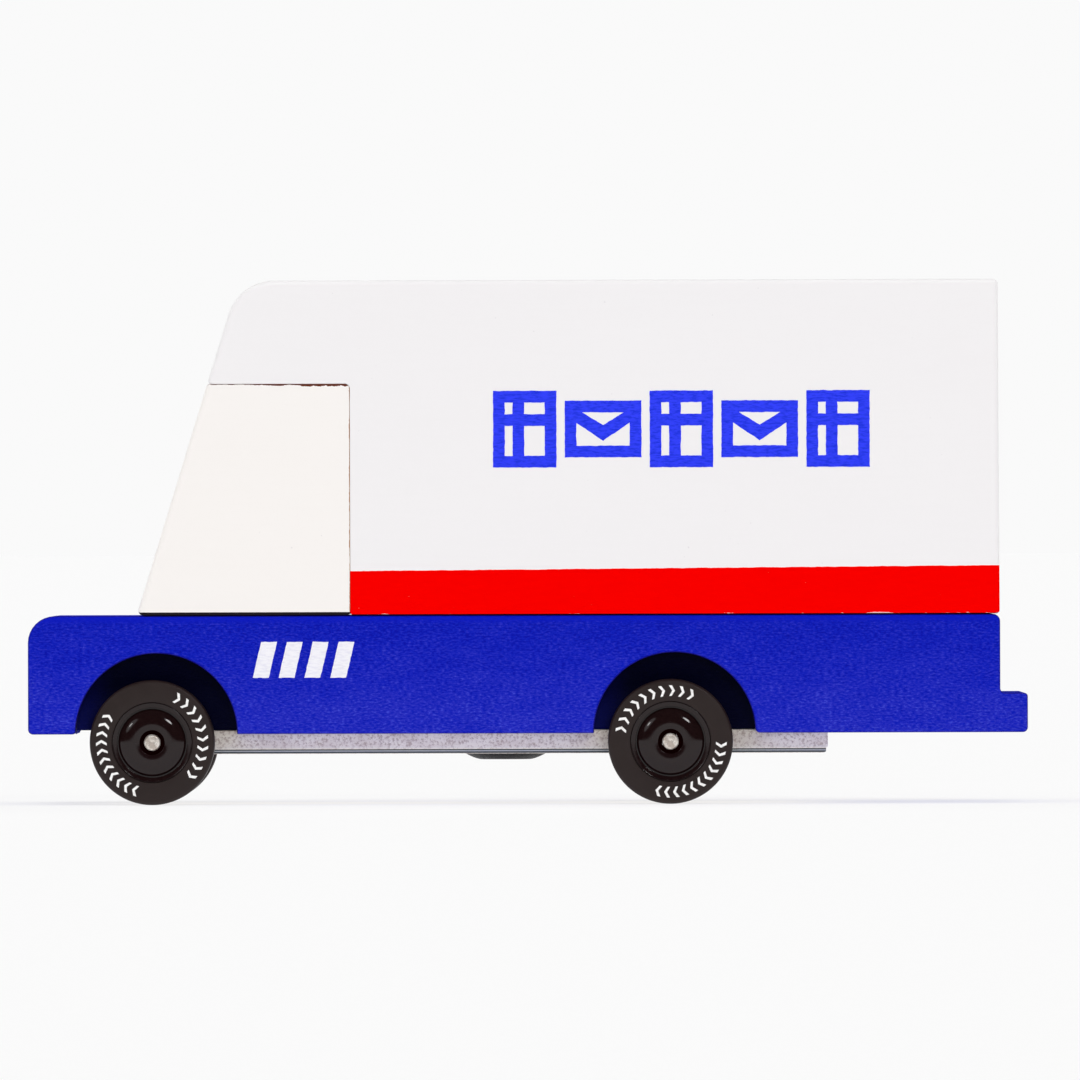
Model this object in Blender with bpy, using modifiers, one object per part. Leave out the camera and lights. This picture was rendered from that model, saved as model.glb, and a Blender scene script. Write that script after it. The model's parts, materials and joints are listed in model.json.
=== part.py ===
"""A pocket-size wooden delivery truck, modelled the way it is built.

Three painted wooden blocks, the lower body, the cab and the cargo box, are dowelled and glued together.
A cast chassis plate is screwed under them and carries two steel axles in cross bores. A plastic hub is
pressed on each end of each axle, and each hub carries a rubber tyre.

Frame: metres, +Z up. The nose points to -X and the truck's left side to -Y. The origin is on the ground,
under the middle of the overall length.
"""

import math

import bmesh
import bpy
from mathutils import Matrix, Vector

MM = 0.001

# Driving dimensions of the whole truck
OVERALL_LENGTH = 120.0 * MM
BLOCK_WIDTH = 46.0 * MM
TYRE_RADIUS = 7.5 * MM
WHEELBASE = 62.2 * MM
NOSE_TO_FRONT_AXLE = 14.9 * MM
BODY_BOTTOM_Z = 8.5 * MM
BODY_TOP_Z = 22.7 * MM
CAB_TOP_Z = 50.4 * MM
ROOF_Z = 62.9 * MM

# Gaps between pieces that touch on the real truck
GLUE_SEAM = 0.2 * MM
PRESS_GAP = 0.05 * MM
AXLE_CLEARANCE = 0.1 * MM

# Lower body
BUMPER_DEPTH = 3.3 * MM
BUMPER_HEIGHT = 4.7 * MM
NOSE_RADIUS = 3.2 * MM
ARCH_RADIUS = 9.7 * MM
ARCH_BEHIND_AXLE = 0.5 * MM
WELL_WALL_Y = 15.2 * MM
SEAT_DEPTH = 0.45 * MM

# Cab and cargo box
CAB_FRONT_TO_NOSE = 13.1 * MM
CAB_REAR_TO_NOSE = 38.6 * MM
BOX_REAR_TO_TAIL = 3.35 * MM
WINDSHIELD_RAKE = math.radians(17.1)
ROOF_NOSE_RADIUS = 4.7 * MM
CORNER_RADIUS = 0.7 * MM
EDGE_ROUNDING = 0.4 * MM

# Chassis plate: a slab with a thinner and slightly smaller slab under it
PLATE_HALF_WIDTH = 15.4 * MM
PLATE_BOTTOM_Z = 6.05 * MM
PLATE_FRONT_TO_AXLE = 4.4 * MM
PLATE_REAR_X = 36.05 * MM
PLATE_EDGE_ROUNDING = 0.25 * MM
LOWER_SLAB_HEIGHT = 0.55 * MM
LOWER_SLAB_INSET = 0.2 * MM
BOSS_FOOT_RADIUS = 5.0 * MM
BOSS_FLAT_RADIUS = 2.9 * MM
BOSS_DROP = 0.8 * MM

# Wheels: a wheel's width is its tyre's, and its outer sidewall stands proud of the blocks
AXLE_RADIUS = 1.0 * MM
AXLE_END_CHAMFER = 0.1 * MM
TYRE_WIDTH = 5.6 * MM
TYRE_PROUD = 0.5 * MM
TYRE_SHOULDER_RADIUS = 0.35 * MM
RIM_RADIUS = 4.8 * MM
BARREL_RADIUS = 4.4 * MM
RIM_FLANGE = 0.55 * MM
RIM_RECESS = 0.15 * MM
DOME_RADIUS = 3.9 * MM
DOME_FLAT_RADIUS = 2.2 * MM
DOME_PROUD = 0.3 * MM
DOME_DROP = 0.9 * MM
DOME_GROOVE = 0.2 * MM
PIN_RECESS_RADIUS = 1.5 * MM
PIN_RECESS_DEPTH = 0.5 * MM
AXLE_END_BELOW_DOME = 0.1 * MM
HUB_BOSS_RADIUS = 2.0 * MM
HUB_WEB_INSIDE = 0.6 * MM
HUB_SIDE_PLAY = 0.3 * MM

# Dowels and screws
DOWEL_RADIUS = 3.0 * MM
DOWEL_IN_BODY = 8.0 * MM
DOWEL_IN_BLOCK = 10.0 * MM
DOWEL_CHAMFER = 0.5 * MM
SCREW_RADIUS = 1.05 * MM
SCREW_HEAD_RADIUS = 2.3 * MM
SCREW_LENGTH = 11.5 * MM
SCREW_TIP_LENGTH = 1.8 * MM
CROSS_SLOT_LENGTH = 2.4 * MM
CROSS_SLOT_WIDTH = 0.5 * MM
CROSS_SLOT_DEPTH = 0.6 * MM

# Places along the truck, worked out from the driving dimensions
NOSE_X = -OVERALL_LENGTH / 2
TAIL_X = OVERALL_LENGTH / 2
AXLE_X = {
    "front": NOSE_X + NOSE_TO_FRONT_AXLE,
    "rear": NOSE_X + NOSE_TO_FRONT_AXLE + WHEELBASE,
}
BLOCK_BOTTOM_Z = BODY_TOP_Z + GLUE_SEAM
CAB_FRONT_X = NOSE_X + CAB_FRONT_TO_NOSE
CAB_REAR_X = NOSE_X + CAB_REAR_TO_NOSE
BOX_FRONT_X = CAB_REAR_X + GLUE_SEAM
BOX_REAR_X = TAIL_X - BOX_REAR_TO_TAIL
SEAT_Z = BODY_BOTTOM_Z + SEAT_DEPTH
PLATE_TOP_Z = SEAT_Z - PRESS_GAP
PLATE_FRONT_X = AXLE_X["front"] - PLATE_FRONT_TO_AXLE
WHEEL_MIDDLE_Y = BLOCK_WIDTH / 2 + TYRE_PROUD - TYRE_WIDTH / 2
DOWEL_PLACES = {
    "cab_dowel_left": (-32.5 * MM, -10.0 * MM),
    "cab_dowel_right": (-32.5 * MM, 10.0 * MM),
    "box_dowel_front": (-12.0 * MM, 0.0),
    "box_dowel_rear": (45.0 * MM, 0.0),
}
SCREW_X = {"front": -37.5 * MM, "centre": -2.7 * MM, "rear": 30.0 * MM}

# Facets, and how far a cutter runs past the face it opens
CORNER_STEPS = 4
TURNED_STEPS = 36
ARCH_STEPS = 64
OVERCUT = 2.0 * MM

SIDES = {"left": -1, "right": 1}


def clear_scene():
    for obj in list(bpy.data.objects):
        bpy.data.objects.remove(obj)


def new_collection(name):
    collection = bpy.data.collections.new(name)
    bpy.context.scene.collection.children.link(collection)
    return collection


def new_material(name, colour, roughness, metallic=0.0):
    material = bpy.data.materials.new(name)
    material.use_nodes = True
    shader = material.node_tree.nodes["Principled BSDF"]
    shader.inputs["Base Color"].default_value = (*colour, 1.0)
    shader.inputs["Roughness"].default_value = roughness
    shader.inputs["Metallic"].default_value = metallic
    material.diffuse_color = (*colour, 1.0)
    return material


# Outlines and shapes


def arc_at_corner(before, corner, after, radius):
    """Points of the arc that rounds a corner, from its first tangent point to its last."""
    to_before = (before - corner).normalized()
    to_after = (after - corner).normalized()
    half_angle = to_before.angle(to_after) / 2
    centre = corner + (to_before + to_after).normalized() * (radius / math.sin(half_angle))
    start = corner + to_before * (radius / math.tan(half_angle)) - centre
    end = corner + to_after * (radius / math.tan(half_angle)) - centre
    turn = math.atan2(start.cross(end), start.dot(end))
    turns = [turn * step / CORNER_STEPS for step in range(CORNER_STEPS + 1)]
    return [centre + Matrix.Rotation(angle, 2) @ start for angle in turns]


def rounded_outline(corners):
    """A closed outline from (x, z, radius) corners, where a radius of 0 leaves the corner sharp."""
    places = [Vector((x, z)) for x, z, _ in corners]
    outline = []
    for i, (_, _, radius) in enumerate(corners):
        if radius:
            outline += arc_at_corner(places[i - 1], places[i], places[(i + 1) % len(places)], radius)
        else:
            outline.append(places[i])
    return outline


def link_mesh(name, mesh, collection, material=None):
    obj = bpy.data.objects.new(name, mesh)
    collection.objects.link(obj)
    if material and not mesh.materials:
        mesh.materials.append(material)
    return obj


def extruded(name, outline, half_width, collection, material=None):
    """A side outline in X and Z, made solid by as much on each side of the truck's middle plane."""
    curve = bpy.data.curves.new(name, "CURVE")
    curve.dimensions = "2D"
    curve.fill_mode = "BOTH"
    curve.extrude = half_width
    spline = curve.splines.new("POLY")
    spline.points.add(len(outline) - 1)
    for point, place in zip(spline.points, outline):
        point.co = (place.x, place.y, 0.0, 1.0)
    spline.use_cyclic_u = True
    flat = bpy.data.objects.new(name + "_outline", curve)
    collection.objects.link(flat)
    flat.rotation_euler = (math.radians(90), 0, 0)
    bpy.context.view_layer.update()

    graph = bpy.context.evaluated_depsgraph_get()
    mesh = bpy.data.meshes.new_from_object(flat.evaluated_get(graph))
    mesh.transform(flat.matrix_world)
    bpy.data.objects.remove(flat)
    welded = bmesh.new()
    welded.from_mesh(mesh)
    bmesh.ops.remove_doubles(welded, verts=welded.verts, dist=0.001 * MM)
    bmesh.ops.recalc_face_normals(welded, faces=welded.faces)
    welded.to_mesh(mesh)
    welded.free()
    return link_mesh(name, mesh, collection, material)


def round_edges(obj, width):
    bevel = obj.modifiers.new("rounded edges", "BEVEL")
    bevel.width = width
    bevel.segments = 2
    bevel.limit_method = "ANGLE"
    bevel.angle_limit = math.radians(50)


def profile_mesh(name, profile, closed=False):
    """Edges only, from (radius, z) points, for a Screw modifier to turn about Z."""
    mesh = bpy.data.meshes.new(name)
    edges = [(i, i + 1) for i in range(len(profile) - 1)]
    if closed:
        edges.append((len(profile) - 1, 0))
    mesh.from_pydata([(radius, 0.0, z) for radius, z in profile], edges, [])
    return mesh


def turned(name, mesh, collection, material=None):
    obj = link_mesh(name, mesh, collection, material)
    screw = obj.modifiers.new("turned", "SCREW")
    screw.axis = "Z"
    screw.angle = math.tau
    screw.steps = TURNED_STEPS
    screw.render_steps = TURNED_STEPS
    screw.use_merge_vertices = True
    screw.merge_threshold = 0.001 * MM
    screw.use_smooth_shade = True
    return obj


def as_cutter(obj):
    obj.hide_render = True
    obj.display_type = "WIRE"
    return obj


def box_cutter(name, low, high, cutters):
    low, high = Vector(low), Vector(high)
    mesh = bpy.data.meshes.new(name)
    cube = bmesh.new()
    bmesh.ops.create_cube(cube, size=1.0)
    bmesh.ops.scale(cube, vec=high - low, verts=cube.verts)
    bmesh.ops.translate(cube, vec=(low + high) / 2, verts=cube.verts)
    cube.to_mesh(mesh)
    cube.free()
    return as_cutter(link_mesh(name, mesh, cutters))


def cone_cutter(name, low_radius, high_radius, height, cutters, segments=TURNED_STEPS):
    """A cone or cylinder along its own Z, with its middle at its origin."""
    mesh = bpy.data.meshes.new(name)
    cone = bmesh.new()
    bmesh.ops.create_cone(
        cone, cap_ends=True, segments=segments, radius1=low_radius, radius2=high_radius, depth=height
    )
    cone.to_mesh(mesh)
    cone.free()
    return as_cutter(link_mesh(name, mesh, cutters))


def boolean(obj, other, operation="DIFFERENCE"):
    change = obj.modifiers.new(other.name, "BOOLEAN")
    change.operation = operation
    change.solver = "EXACT"
    change.object = other


def cut_upright_hole(obj, name, place, radius, bottom_z, top_z, cutters):
    cutter = cone_cutter(name, radius, radius, top_z - bottom_z, cutters)
    cutter.location = (*place, (bottom_z + top_z) / 2)
    boolean(obj, cutter)


def cut_cross_hole(obj, name, x, z, radius, span_y, cutters, segments=TURNED_STEPS):
    """A round hole or pocket across the truck, over a span of y."""
    low_y, high_y = span_y
    cutter = cone_cutter(name, radius, radius, high_y - low_y, cutters, segments)
    cutter.rotation_euler = (math.radians(90), 0, 0)
    cutter.location = (x, (low_y + high_y) / 2, z)
    boolean(obj, cutter)


# Wooden blocks and their dowels


def windshield_x(z):
    """Where the raked front of the cab, and of the roof above it, is at height z."""
    return CAB_FRONT_X + (z - BLOCK_BOTTOM_Z) * math.tan(WINDSHIELD_RAKE)


def make_lower_body(parts, cutters, paint):
    step_x = TAIL_X - BUMPER_DEPTH
    step_z = BODY_BOTTOM_Z + BUMPER_HEIGHT
    outline = rounded_outline(
        [
            (NOSE_X, BODY_BOTTOM_Z, CORNER_RADIUS),
            (NOSE_X, BODY_TOP_Z, NOSE_RADIUS),
            (step_x, BODY_TOP_Z, CORNER_RADIUS),
            (step_x, step_z, CORNER_RADIUS),
            (TAIL_X, step_z, CORNER_RADIUS),
            (TAIL_X, BODY_BOTTOM_Z, CORNER_RADIUS),
        ]
    )
    body = extruded("lower_body", outline, BLOCK_WIDTH / 2, parts, paint)
    round_edges(body, EDGE_ROUNDING)
    cut_wheel_wells(body, cutters)
    seat_front_x = AXLE_X["front"] + ARCH_BEHIND_AXLE - ARCH_RADIUS - PRESS_GAP
    seat_half_width = PLATE_HALF_WIDTH + PRESS_GAP
    seat = box_cutter(
        "chassis_seat",
        (seat_front_x, -seat_half_width, BODY_BOTTOM_Z - OVERCUT),
        (PLATE_REAR_X + PRESS_GAP, seat_half_width, SEAT_Z),
        cutters,
    )
    boolean(body, seat)
    for name, place in DOWEL_PLACES.items():
        bottom_z = BODY_TOP_Z - DOWEL_IN_BODY - PRESS_GAP
        radius = DOWEL_RADIUS + PRESS_GAP
        cut_upright_hole(body, f"body_hole_{name}", place, radius, bottom_z, BODY_TOP_Z + OVERCUT, cutters)
    for name, screw_x in SCREW_X.items():
        bottom_z = BODY_BOTTOM_Z - OVERCUT
        top_z = screw_face_z(name) + SCREW_LENGTH + PRESS_GAP
        radius = SCREW_RADIUS + PRESS_GAP
        cut_upright_hole(body, f"pilot_hole_{name}", (screw_x, 0.0), radius, bottom_z, top_z, cutters)


def cut_wheel_wells(body, cutters):
    """Half-round pockets let into both sides of the body, a little behind the axles."""
    side_y = BLOCK_WIDTH / 2 + OVERCUT
    for axle, axle_x in AXLE_X.items():
        well_x = axle_x + ARCH_BEHIND_AXLE
        for side, direction in SIDES.items():
            span_y = sorted((direction * WELL_WALL_Y, direction * side_y))
            name = f"well_{axle}_{side}"
            cut_cross_hole(body, name, well_x, BODY_BOTTOM_Z, ARCH_RADIUS, span_y, cutters, ARCH_STEPS)


def make_cab_block(parts, cutters, paint):
    outline = rounded_outline(
        [
            (CAB_FRONT_X, BLOCK_BOTTOM_Z, CORNER_RADIUS),
            (windshield_x(CAB_TOP_Z), CAB_TOP_Z, CORNER_RADIUS),
            (CAB_REAR_X, CAB_TOP_Z, CORNER_RADIUS),
            (CAB_REAR_X, BLOCK_BOTTOM_Z, CORNER_RADIUS),
        ]
    )
    cab = extruded("cab_block", outline, BLOCK_WIDTH / 2, parts, paint)
    round_edges(cab, EDGE_ROUNDING)
    cut_dowel_holes(cab, ("cab_dowel_left", "cab_dowel_right"), cutters)


def make_cargo_box(parts, cutters, paint):
    overhang_z = CAB_TOP_Z + GLUE_SEAM
    outline = rounded_outline(
        [
            (BOX_FRONT_X, BLOCK_BOTTOM_Z, CORNER_RADIUS),
            (BOX_FRONT_X, overhang_z, CORNER_RADIUS - GLUE_SEAM),
            (windshield_x(overhang_z), overhang_z, CORNER_RADIUS),
            (windshield_x(ROOF_Z), ROOF_Z, ROOF_NOSE_RADIUS),
            (BOX_REAR_X, ROOF_Z, CORNER_RADIUS),
            (BOX_REAR_X, BLOCK_BOTTOM_Z, CORNER_RADIUS),
        ]
    )
    box = extruded("cargo_box", outline, BLOCK_WIDTH / 2, parts, paint)
    round_edges(box, EDGE_ROUNDING)
    cut_dowel_holes(box, ("box_dowel_front", "box_dowel_rear"), cutters)


def cut_dowel_holes(block, dowel_names, cutters):
    """Blind holes in the underside of a block that stands on the lower body."""
    bottom_z = BLOCK_BOTTOM_Z - OVERCUT
    top_z = BODY_TOP_Z + DOWEL_IN_BLOCK + PRESS_GAP
    radius = DOWEL_RADIUS + PRESS_GAP
    for name in dowel_names:
        cut_upright_hole(block, f"block_hole_{name}", DOWEL_PLACES[name], radius, bottom_z, top_z, cutters)


def rod_profile(radius, bottom, top, chamfer):
    return [
        (0, top),
        (radius - chamfer, top),
        (radius, top - chamfer),
        (radius, bottom + chamfer),
        (radius - chamfer, bottom),
        (0, bottom),
    ]


def make_dowels(parts, wood):
    profile = rod_profile(DOWEL_RADIUS, -DOWEL_IN_BODY, DOWEL_IN_BLOCK, DOWEL_CHAMFER)
    mesh = profile_mesh("dowel", profile)
    for name, place in DOWEL_PLACES.items():
        dowel = turned(name, mesh, parts, wood)
        dowel.location = (*place, BODY_TOP_Z)


# Chassis plate and its screws


def slab(name, inset, bottom_z, top_z, collection, material=None):
    """A flat slab that is smaller than the chassis plate's outline by the inset on every side."""
    outline = [
        Vector((PLATE_FRONT_X + inset, bottom_z)),
        Vector((PLATE_FRONT_X + inset, top_z)),
        Vector((PLATE_REAR_X - inset, top_z)),
        Vector((PLATE_REAR_X - inset, bottom_z)),
    ]
    obj = extruded(name, outline, PLATE_HALF_WIDTH - inset, collection, material)
    round_edges(obj, PLATE_EDGE_ROUNDING)
    return obj


def make_chassis_plate(parts, cutters, metal):
    split_z = PLATE_BOTTOM_Z + LOWER_SLAB_HEIGHT
    plate = slab("chassis_plate", 0, split_z, PLATE_TOP_Z, parts, metal)
    lower = slab("lower_slab", LOWER_SLAB_INSET, PLATE_BOTTOM_Z, split_z + LOWER_SLAB_HEIGHT, cutters)
    boolean(plate, as_cutter(lower), "UNION")
    boolean(plate, centre_boss(cutters), "UNION")
    end_y = PLATE_HALF_WIDTH + OVERCUT
    for axle, axle_x in AXLE_X.items():
        radius = AXLE_RADIUS + AXLE_CLEARANCE
        cut_cross_hole(plate, f"{axle}_axle_bore", axle_x, TYRE_RADIUS, radius, (-end_y, end_y), cutters)
    for name, screw_x in SCREW_X.items():
        mesh = profile_mesh(f"screw_hole_{name}", screw_hole_profile())
        hole = as_cutter(turned(f"screw_hole_{name}", mesh, cutters))
        hole.location = (screw_x, 0, screw_face_z(name))
        boolean(plate, hole)


def centre_boss(cutters):
    """A shallow cone under the plate, sunk into it with the same slope so that the two unite cleanly."""
    slope = (BOSS_FOOT_RADIUS - BOSS_FLAT_RADIUS) / BOSS_DROP
    height = BOSS_DROP + LOWER_SLAB_HEIGHT
    boss = cone_cutter("centre_boss", BOSS_FLAT_RADIUS, BOSS_FLAT_RADIUS + slope * height, height, cutters)
    boss.location = (SCREW_X["centre"], 0, PLATE_BOTTOM_Z - BOSS_DROP + height / 2)
    return boss


def screw_face_z(name):
    """Height of a screw's head face: flush with the plate, or with the boss under its middle."""
    return PLATE_BOTTOM_Z - BOSS_DROP if name == "centre" else PLATE_BOTTOM_Z


def screw_profile():
    """A countersunk screw, point up, with its head face at Z = 0."""
    return [
        (0, SCREW_LENGTH),
        (SCREW_RADIUS, SCREW_LENGTH - SCREW_TIP_LENGTH),
        (SCREW_RADIUS, SCREW_HEAD_RADIUS - SCREW_RADIUS),
        (SCREW_HEAD_RADIUS, 0),
        (0, 0),
    ]


def screw_hole_profile():
    """The countersunk hole that a screw passes through, a press gap larger all round."""
    shank_radius = SCREW_RADIUS + PRESS_GAP
    head_radius = SCREW_HEAD_RADIUS + PRESS_GAP
    return [
        (0, SCREW_LENGTH),
        (shank_radius, SCREW_LENGTH),
        (shank_radius, head_radius - shank_radius),
        (head_radius, 0),
        (head_radius, -OVERCUT),
        (0, -OVERCUT),
    ]


def make_screws(parts, cutters, steel):
    half_length, half_width = CROSS_SLOT_LENGTH / 2, CROSS_SLOT_WIDTH / 2
    for name, screw_x in SCREW_X.items():
        mesh = profile_mesh(f"chassis_screw_{name}", screw_profile())
        screw = turned(f"chassis_screw_{name}", mesh, parts, steel)
        screw.location = (screw_x, 0, screw_face_z(name))
        for turn in (0, 90):
            slot = box_cutter(
                f"cross_slot_{name}_{turn}",
                (-half_length, -half_width, -OVERCUT),
                (half_length, half_width, CROSS_SLOT_DEPTH),
                cutters,
            )
            slot.rotation_euler = (0, 0, math.radians(turn))
            slot.location = screw.location
            boolean(screw, slot)


# Wheelsets


def tyre_profile():
    """Section of a tyre, +Z outward, with a bead that sits between the hub's flanges."""
    side = TYRE_WIDTH / 2
    bead_side = side - RIM_RECESS - RIM_FLANGE - PRESS_GAP
    bore = RIM_RADIUS + PRESS_GAP
    bead_bore = BARREL_RADIUS + PRESS_GAP
    diagonal = TYRE_SHOULDER_RADIUS * (1 - math.cos(math.radians(45)))
    outer_half = [
        (bead_bore, bead_side),
        (bore, bead_side),
        (bore, side),
        (TYRE_RADIUS - TYRE_SHOULDER_RADIUS, side),
        (TYRE_RADIUS - diagonal, side - diagonal),
        (TYRE_RADIUS, side - TYRE_SHOULDER_RADIUS),
    ]
    return outer_half + [(radius, -z) for radius, z in reversed(outer_half)]


def hub_profile():
    """Section of a hub, +Z outward: domed cap, recess for the axle's end, flanged rim, web and boss."""
    side = TYRE_WIDTH / 2
    rim_face = side - RIM_RECESS
    flange_inside = rim_face - RIM_FLANGE
    dome_top = side + DOME_PROUD
    dome_foot = dome_top - DOME_DROP
    boss_end = PLATE_HALF_WIDTH + HUB_SIDE_PLAY - WHEEL_MIDDLE_Y
    bore = AXLE_RADIUS + PRESS_GAP
    groove_radius = DOME_RADIUS + DOME_GROOVE
    dome = [
        (
            DOME_FLAT_RADIUS + (DOME_RADIUS - DOME_FLAT_RADIUS) * math.sin(math.radians(angle)),
            dome_foot + DOME_DROP * math.cos(math.radians(angle)),
        )
        for angle in (0, 22.5, 45, 67.5, 90)
    ]
    return [
        (bore, dome_top - PIN_RECESS_DEPTH),
        (PIN_RECESS_RADIUS, dome_top - PIN_RECESS_DEPTH),
        (PIN_RECESS_RADIUS, dome_top),
        *dome,
        (groove_radius, dome_foot),
        (groove_radius, rim_face),
        (RIM_RADIUS, rim_face),
        (RIM_RADIUS, flange_inside),
        (BARREL_RADIUS, flange_inside),
        (BARREL_RADIUS, -flange_inside),
        (RIM_RADIUS, -flange_inside),
        (RIM_RADIUS, -rim_face),
        (DOME_RADIUS, -rim_face),
        (DOME_RADIUS, -HUB_WEB_INSIDE),
        (HUB_BOSS_RADIUS, -HUB_WEB_INSIDE),
        (HUB_BOSS_RADIUS, boss_end),
        (bore, boss_end),
    ]


def make_wheelsets(parts, materials):
    """Each axle with a hub and a tyre at both ends, under one empty on the axle's centre line."""
    axle_end = WHEEL_MIDDLE_Y + TYRE_WIDTH / 2 + DOME_PROUD - AXLE_END_BELOW_DOME
    meshes = {
        "axle": profile_mesh("axle", rod_profile(AXLE_RADIUS, -axle_end, axle_end, AXLE_END_CHAMFER)),
        "hub": profile_mesh("hub", hub_profile(), closed=True),
        "tyre": profile_mesh("tyre", tyre_profile(), closed=True),
    }
    for axle, axle_x in AXLE_X.items():
        wheelset = bpy.data.objects.new(f"{axle}_wheelset", None)
        wheelset.location = (axle_x, 0, TYRE_RADIUS)
        wheelset.empty_display_size = TYRE_RADIUS
        parts.objects.link(wheelset)
        rod = turned(f"{axle}_axle", meshes["axle"], parts, materials["axle"])
        rod.rotation_euler = (math.radians(90), 0, 0)
        rod.parent = wheelset
        for side, direction in SIDES.items():
            for piece in ("hub", "tyre"):
                obj = turned(f"{axle}_{side}_{piece}", meshes[piece], parts, materials[piece])
                obj.rotation_euler = (math.radians(-90 * direction), 0, 0)
                obj.location = (0, direction * WHEEL_MIDDLE_Y, 0)
                obj.parent = wheelset


def main():
    clear_scene()
    parts = new_collection("wooden_delivery_truck")
    cutters = new_collection("cutters")
    steel = new_material("steel", (0.70, 0.68, 0.65), 0.3, 1.0)
    make_lower_body(parts, cutters, new_material("blue_paint", (0.018, 0.025, 0.50), 0.45))
    make_cab_block(parts, cutters, new_material("cream_paint", (0.90, 0.87, 0.83), 0.5))
    make_cargo_box(parts, cutters, new_material("white_paint", (0.86, 0.85, 0.855), 0.5))
    make_dowels(parts, new_material("bare_wood", (0.62, 0.42, 0.24), 0.6))
    make_chassis_plate(parts, cutters, new_material("silver_casting", (0.55, 0.54, 0.55), 0.45, 0.8))
    make_screws(parts, cutters, steel)
    wheel_materials = {
        "axle": steel,
        "hub": new_material("black_plastic", (0.012, 0.011, 0.011), 0.15),
        "tyre": new_material("black_rubber", (0.02, 0.018, 0.018), 0.5),
    }
    make_wheelsets(parts, wheel_materials)


main()
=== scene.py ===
"""The finish of a palm-size painted wooden delivery truck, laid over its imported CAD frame.

The nose points to -X and the side that the camera sees to -Y. Sizes that the frame doesn't hold, such as
the rounding of an edge or the size of a print, are named below.
"""

import json
import math

import bmesh
import bpy
from mathutils import Matrix, Vector, noise


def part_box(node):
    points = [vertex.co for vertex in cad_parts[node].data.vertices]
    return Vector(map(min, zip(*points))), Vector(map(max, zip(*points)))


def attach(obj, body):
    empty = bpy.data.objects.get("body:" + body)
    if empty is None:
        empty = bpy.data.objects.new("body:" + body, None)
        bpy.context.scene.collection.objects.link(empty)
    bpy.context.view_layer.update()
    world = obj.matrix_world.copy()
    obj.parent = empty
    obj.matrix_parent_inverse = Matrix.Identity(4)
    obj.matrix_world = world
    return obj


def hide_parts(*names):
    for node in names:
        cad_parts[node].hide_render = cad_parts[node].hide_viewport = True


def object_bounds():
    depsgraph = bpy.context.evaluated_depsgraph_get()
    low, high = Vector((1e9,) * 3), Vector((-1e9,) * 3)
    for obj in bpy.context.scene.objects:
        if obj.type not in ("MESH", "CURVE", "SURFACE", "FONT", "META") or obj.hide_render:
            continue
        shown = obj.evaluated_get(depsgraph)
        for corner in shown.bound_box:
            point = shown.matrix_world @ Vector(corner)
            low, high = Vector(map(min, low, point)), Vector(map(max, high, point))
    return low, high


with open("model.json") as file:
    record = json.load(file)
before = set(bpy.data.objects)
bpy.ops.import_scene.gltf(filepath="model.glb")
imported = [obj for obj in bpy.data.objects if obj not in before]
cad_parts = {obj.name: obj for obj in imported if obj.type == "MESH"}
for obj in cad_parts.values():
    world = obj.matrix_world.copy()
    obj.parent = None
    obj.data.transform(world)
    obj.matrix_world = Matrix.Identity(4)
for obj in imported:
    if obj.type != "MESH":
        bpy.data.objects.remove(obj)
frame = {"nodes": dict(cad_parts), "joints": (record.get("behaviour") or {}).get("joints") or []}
cad_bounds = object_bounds()

MM = 0.001

# Mesh detail
MERGE_DISTANCE = 0.001 * MM
LEAST_RADIUS = 0.03 * MM
CUT_MARGIN = 0.55 * MM
RIM_STEPS = 4
ARCH_STEPS = 72
BLOCK_SHARP_ANGLE = math.radians(35)
TURNED_SHARP_ANGLE = math.radians(40)

# Wooden blocks
RAKE = math.radians(17.1)
CAB_FRONT_TO_NOSE = 13.1 * MM
BOX_REAR_LEAN = 0.15 * MM
BUMPER_DEPTH = 3.3 * MM
BUMPER_HEIGHT = 4.7 * MM
NOSE_RADIUS = 3.2 * MM
BROW_RADIUS = 5.8 * MM
SOFT_CORNER = 0.9 * MM
CORNER = 0.6 * MM
SMALL_CORNER = 0.4 * MM
BODY_RIM = 0.3 * MM
BLOCK_RIM_DEPTH = 0.4 * MM
OPEN_RIM = 0.6 * MM
WINDSHIELD_RIM = 0.8 * MM
SEAM_RIM = 0.03 * MM
FOOT_FILL = 0.14 * MM
SEAM_FILL = 0.095 * MM
PRESS_GAP = 0.05 * MM

# Wheel wells and the plate's seat
ARCH_RADIUS = 9.7 * MM
ARCH_BEHIND_AXLE = 0.5 * MM
ARCH_FOOT_ANGLE = math.radians(5)
WELL_WALL_Y = 15.2 * MM
WELL_OVERLAP = 0.1 * MM

# Chassis plate
LOWER_SLAB_HEIGHT = 0.55 * MM
LOWER_SLAB_INSET = 0.2 * MM
PLATE_CORNER = 0.3 * MM
PLATE_RIM = 0.12 * MM
BOSS_FOOT_RADIUS = 5.0 * MM
BOSS_FLAT_RADIUS = 2.9 * MM
BOSS_FLARE = 1.6
AXLE_CLEARANCE = 0.1 * MM

# Wheels
RIM_RADIUS = 4.8 * MM
BARREL_RADIUS = 4.4 * MM
RIM_FLANGE = 0.55 * MM
RIM_RECESS = 0.15 * MM
RIM_LIP = 0.04 * MM
RIM_LIP_WIDTH = 0.14 * MM
WEB_RADIUS = 3.9 * MM
DOME_RADIUS = 4.05 * MM
DOME_FLAT_RADIUS = 2.2 * MM
DOME_DROP = 0.9 * MM
DOME_GROOVE = 0.15 * MM
PIN_RECESS_RADIUS = 1.5 * MM
PIN_RECESS_DEPTH = 0.5 * MM
PIN_END_RADIUS = 0.3 * MM
HUB_BOSS_RADIUS = 2.0 * MM
HUB_WEB_INSIDE = 0.6 * MM
TYRE_SHOULDER = 0.4 * MM
TINY_ROUND = 0.06 * MM
REAR_WHEEL_TURN = math.radians(106)

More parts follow.
